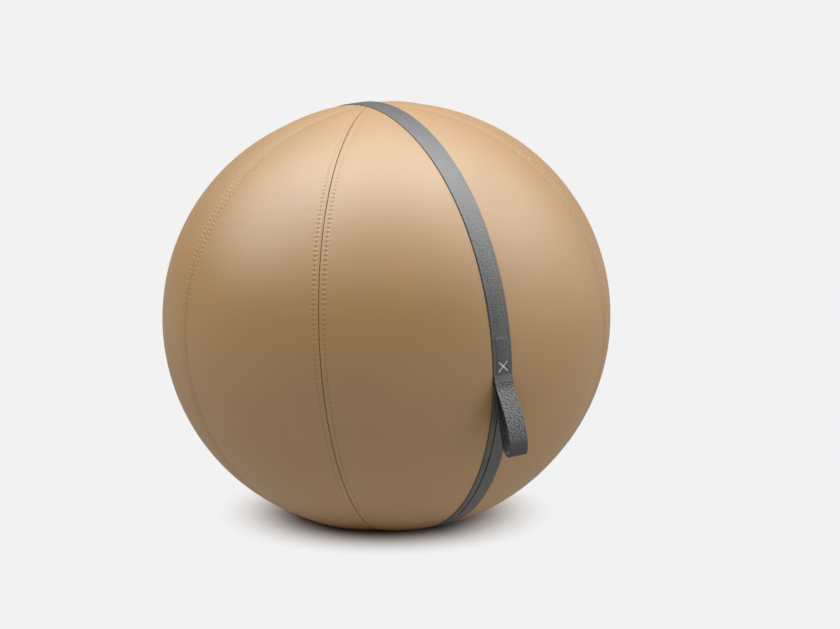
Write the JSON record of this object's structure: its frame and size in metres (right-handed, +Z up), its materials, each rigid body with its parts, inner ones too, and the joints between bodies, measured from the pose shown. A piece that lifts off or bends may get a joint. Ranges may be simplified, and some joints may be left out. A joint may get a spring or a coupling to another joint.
{
  "type": "sitting ball",
  "caption": "Leather-covered sitting ball of sewn lengthways panels, with a strap over the top, a hanging finger loop and a zip hidden under a flap.",
  "frame": {"origin": "centre of the flat patch that the ball rests on, on the floor", "axes": "+Z up; the strap's end, the loop and the zip face -Y; +X to the right of someone facing the loop. The seam axis leans 4.1 degrees from +Z, to -X and +Y, as the ball stands in the picture"},
  "size_m": [0.6499, 0.6845, 0.6035],
  "materials": {
    "tan_leather": "satin",
    "grey_leather": "satin",
    "padding": "matte",
    "backing_tape": "matte",
    "zip_tape": "matte",
    "zip_metal": "satin",
    "bladder_rubber": "satin",
    "plug_plastic": "matte"
  },
  "bodies": {
    "ball": {"cover_panel_1": "tan_leather", "cover_panel_2": "tan_leather", "cover_panel_3": "tan_leather", "cover_panel_4": "tan_leather", "cover_panel_5": "tan_leather", "cover_panel_6": "tan_leather", "cover_panel_7": "tan_leather", "cover_panel_8": "tan_leather", "strap": "grey_leather", "loop_tail": "grey_leather", "zip_flap": "grey_leather", "zip_facing": "grey_leather", "panel_padding_1": "padding", "panel_padding_2": "padding", "panel_padding_3": "padding", "panel_padding_4": "padding", "panel_padding_5": "padding", "panel_padding_6": "padding", "panel_padding_7": "padding", "panel_padding_8": "padding", "seam_tape_1": "backing_tape", "seam_tape_2": "backing_tape", "seam_tape_3": "backing_tape", "seam_tape_4": "backing_tape", "seam_tape_5": "backing_tape", "seam_tape_6": "backing_tape", "strap_backing": "backing_tape", "zip_guard": "backing_tape", "zip_half_left": "zip_tape", "zip_half_right": "zip_tape", "zip_top_stop_left": "zip_metal", "zip_top_stop_right": "zip_metal", "zip_bottom_stop": "zip_metal", "bladder": "bladder_rubber", "valve_seat": "bladder_rubber", "valve_plug": "plug_plastic"},
    "zip_slider": {"slider_body": "zip_metal", "slider_tab": "zip_metal"},
    "loop": {"pull_loop": "grey_leather"}
  },
  "joints": [
    {"name": "zip_travel", "type": "hinge", "parent": "ball", "child": "zip_slider", "pos_m": [0.00185, -0.01836, 0.29096], "axis": [0.998, 0, 0.0628], "range_deg": [0, 40.5], "deforming": ["zip_half_left", "zip_half_right"]},
    {"name": "loop_swing", "type": "hinge", "parent": "ball", "child": "loop", "pos_m": [0.00417, -0.32674, 0.25415], "axis": [-0.998, 0, -0.0628], "range_deg": [-8, 90]}
  ]
}
